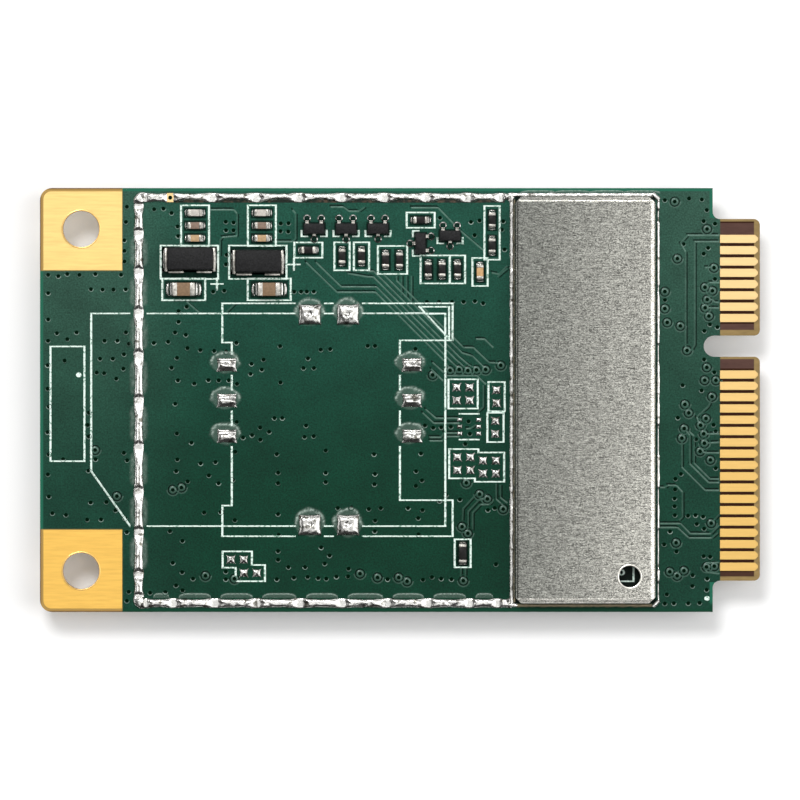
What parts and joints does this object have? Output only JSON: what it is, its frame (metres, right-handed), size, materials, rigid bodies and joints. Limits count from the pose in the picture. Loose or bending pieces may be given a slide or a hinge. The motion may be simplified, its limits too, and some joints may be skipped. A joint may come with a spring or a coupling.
{
  "type": "lte module",
  "caption": "Green mini card circuit board with gold edge contacts, gold mounting pads, a shield can and small chip parts.",
  "frame": {"origin": "centre of the card's outline, on the plane of the large can's lid that the card rests on", "axes": "+X along the card to the edge contacts, +Y across the card to the side by the key slot, +Z out of the face with the printed legend"},
  "size_m": [0.051, 0.03, 0.0047],
  "materials": {
    "solder_mask": "satin",
    "gold_plating": "satin",
    "legend_ink": "matte",
    "solder": "satin",
    "shield_sheet": "brushed",
    "moulded_case": "matte",
    "chip_package": "matte",
    "ceramic_brown": "satin",
    "ceramic_pale": "satin",
    "resistor_body": "gloss",
    "crystal_case": "satin",
    "jack_insulator": "matte"
  },
  "bodies": {
    "root": {"circuit_board": "solder_mask", "contact_fingers_front": "gold_plating", "contact_fingers_back": "gold_plating", "mount_pads_front": "gold_plating", "mount_pads_back": "gold_plating", "printed_legend": "legend_ink", "shield_rail_solder": "solder", "sim_pad_solder": "solder", "spare_pad_solder": "solder", "chip_pad_solder": "solder", "shield_solder_back": "solder", "shield_frame_front": "shield_sheet", "shield_lid_front": "shield_sheet", "shield_frame_back": "shield_sheet", "shield_lid_back": "shield_sheet", "power_amplifier": "chip_package", "front_end_module": "chip_package", "baseband_processor": "chip_package", "memory_chip": "chip_package", "power_manager_chip": "chip_package", "radio_transceiver": "chip_package", "reference_crystal": "crystal_case", "tantalum_capacitor_left": "moulded_case", "tantalum_capacitor_right": "moulded_case", "bulk_capacitor_left": "ceramic_brown", "bulk_capacitor_right": "ceramic_brown", "feed_capacitor": "ceramic_brown", "protection_diode": "moulded_case", "decoupling_capacitor_1": "ceramic_pale", "decoupling_capacitor_2": "ceramic_pale", "decoupling_capacitor_3": "ceramic_pale", "decoupling_capacitor_4": "ceramic_pale", "decoupling_capacitor_5": "ceramic_pale", "decoupling_capacitor_6": "ceramic_pale", "resistor_1": "resistor_body", "resistor_2": "resistor_body", "resistor_3": "resistor_body", "resistor_4": "resistor_body", "resistor_5": "resistor_body", "resistor_6": "resistor_body", "resistor_7": "resistor_body", "resistor_8": "resistor_body", "resistor_9": "resistor_body", "resistor_10": "resistor_body", "resistor_11": "resistor_body", "transistor_1": "moulded_case", "transistor_2": "moulded_case", "transistor_3": "moulded_case", "transistor_4": "moulded_case", "transistor_5": "moulded_case", "antenna_jack_shell_1": "gold_plating", "antenna_jack_insulator_1": "jack_insulator", "antenna_jack_pin_1": "gold_plating", "antenna_jack_shell_2": "gold_plating", "antenna_jack_insulator_2": "jack_insulator", "antenna_jack_pin_2": "gold_plating", "antenna_jack_shell_3": "gold_plating", "antenna_jack_insulator_3": "jack_insulator", "antenna_jack_pin_3": "gold_plating"}
  },
  "joints": []
}
